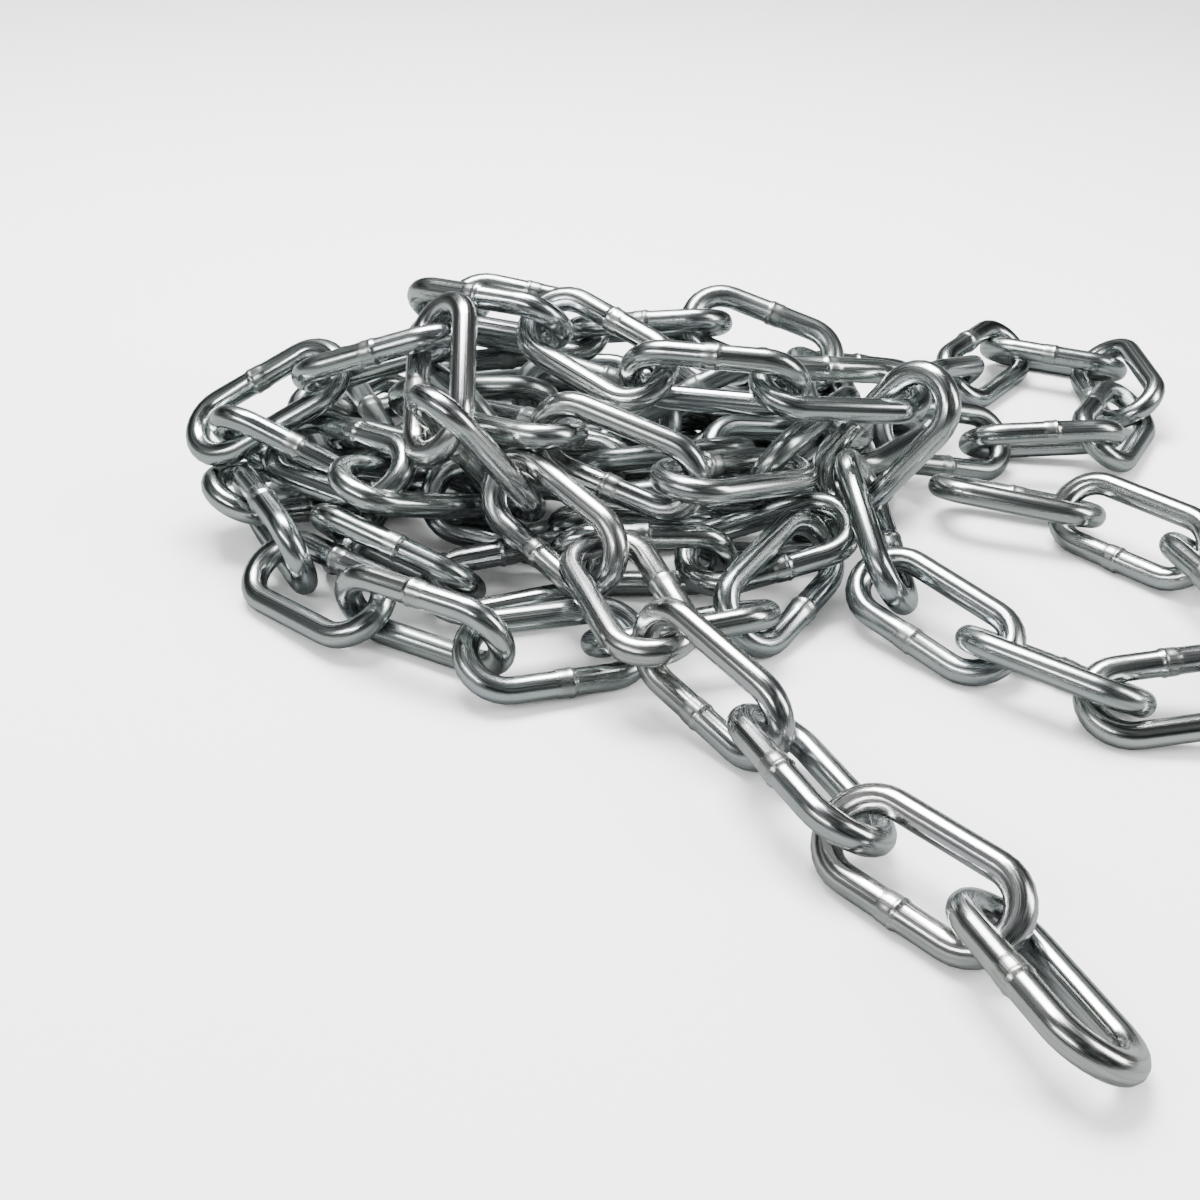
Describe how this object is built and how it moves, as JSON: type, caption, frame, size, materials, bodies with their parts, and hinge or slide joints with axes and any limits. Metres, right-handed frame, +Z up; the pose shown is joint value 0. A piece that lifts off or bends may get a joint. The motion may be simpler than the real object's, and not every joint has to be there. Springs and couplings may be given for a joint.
{
  "type": "heap of chain",
  "caption": "Length of short-link welded steel chain lying in a loose heap, for lifting, hanging, fencing or securing, with three strands running out of the heap.",
  "frame": {"origin": "under the middle of the heap's bounding box, on the floor", "axes": "+Z up, +Y away from the camera and along the row's longest extent, +X to the camera's right"},
  "size_m": [0.2218, 0.258, 0.0526],
  "materials": {
    "bright_zinc": "bright zinc plate on smooth round steel wire, slightly blue, with fine lengthwise draw lines and a low weld in the middle of one bar of each link"
  },
  "bodies": {
    "root": {"back_loop_run_02": "bright_zinc", "back_loop_run_05": "bright_zinc", "big_left_link_01": "bright_zinc", "big_left_link_02": "bright_zinc", "big_left_link_03": "bright_zinc", "centre_link_01": "bright_zinc", "centre_link_02": "bright_zinc", "centre_link_03": "bright_zinc", "floor_inner_run_01": "bright_zinc", "floor_inner_run_04": "bright_zinc", "floor_inner_run_07": "bright_zinc", "floor_inner_run_10": "bright_zinc", "floor_ring_link_10": "bright_zinc", "floor_ring_run_01": "bright_zinc", "floor_ring_run_04": "bright_zinc", "floor_ring_run_07": "bright_zinc", "front_tail_link_01": "bright_zinc", "front_tail_link_02": "bright_zinc", "front_tail_link_03": "bright_zinc", "front_tail_link_04": "bright_zinc", "front_tail_link_05": "bright_zinc", "front_tail_link_06": "bright_zinc", "front_tail_link_07": "bright_zinc", "front_tail_link_08": "bright_zinc", "left_edge_link_01": "bright_zinc", "left_edge_link_02": "bright_zinc", "left_edge_link_03": "bright_zinc", "left_edge_link_04": "bright_zinc", "left_edge_link_05": "bright_zinc", "left_edge_link_06": "bright_zinc", "left_edge_link_07": "bright_zinc", "middle_run_01": "bright_zinc", "middle_run_04": "bright_zinc", "middle_run_07": "bright_zinc", "middle_run_10": "bright_zinc", "middle_run_13": "bright_zinc", "right_strand_link_01": "bright_zinc", "right_strand_link_02": "bright_zinc", "right_strand_link_03": "bright_zinc", "right_strand_link_04": "bright_zinc", "right_strand_link_05": "bright_zinc", "right_strand_link_06": "bright_zinc", "right_strand_link_07": "bright_zinc", "top_link_01": "bright_zinc", "top_link_02": "bright_zinc", "top_link_03": "bright_zinc", "top_link_04": "bright_zinc", "top_link_05": "bright_zinc", "top_link_06": "bright_zinc", "under_front_link_01": "bright_zinc", "under_front_link_02": "bright_zinc", "under_front_link_03": "bright_zinc", "under_front_link_04": "bright_zinc", "under_front_link_05": "bright_zinc", "upper_left_link_01": "bright_zinc", "upper_left_link_02": "bright_zinc", "upper_left_link_03": "bright_zinc", "upper_run_01": "bright_zinc", "upper_run_04": "bright_zinc"}
  },
  "joints": []
}
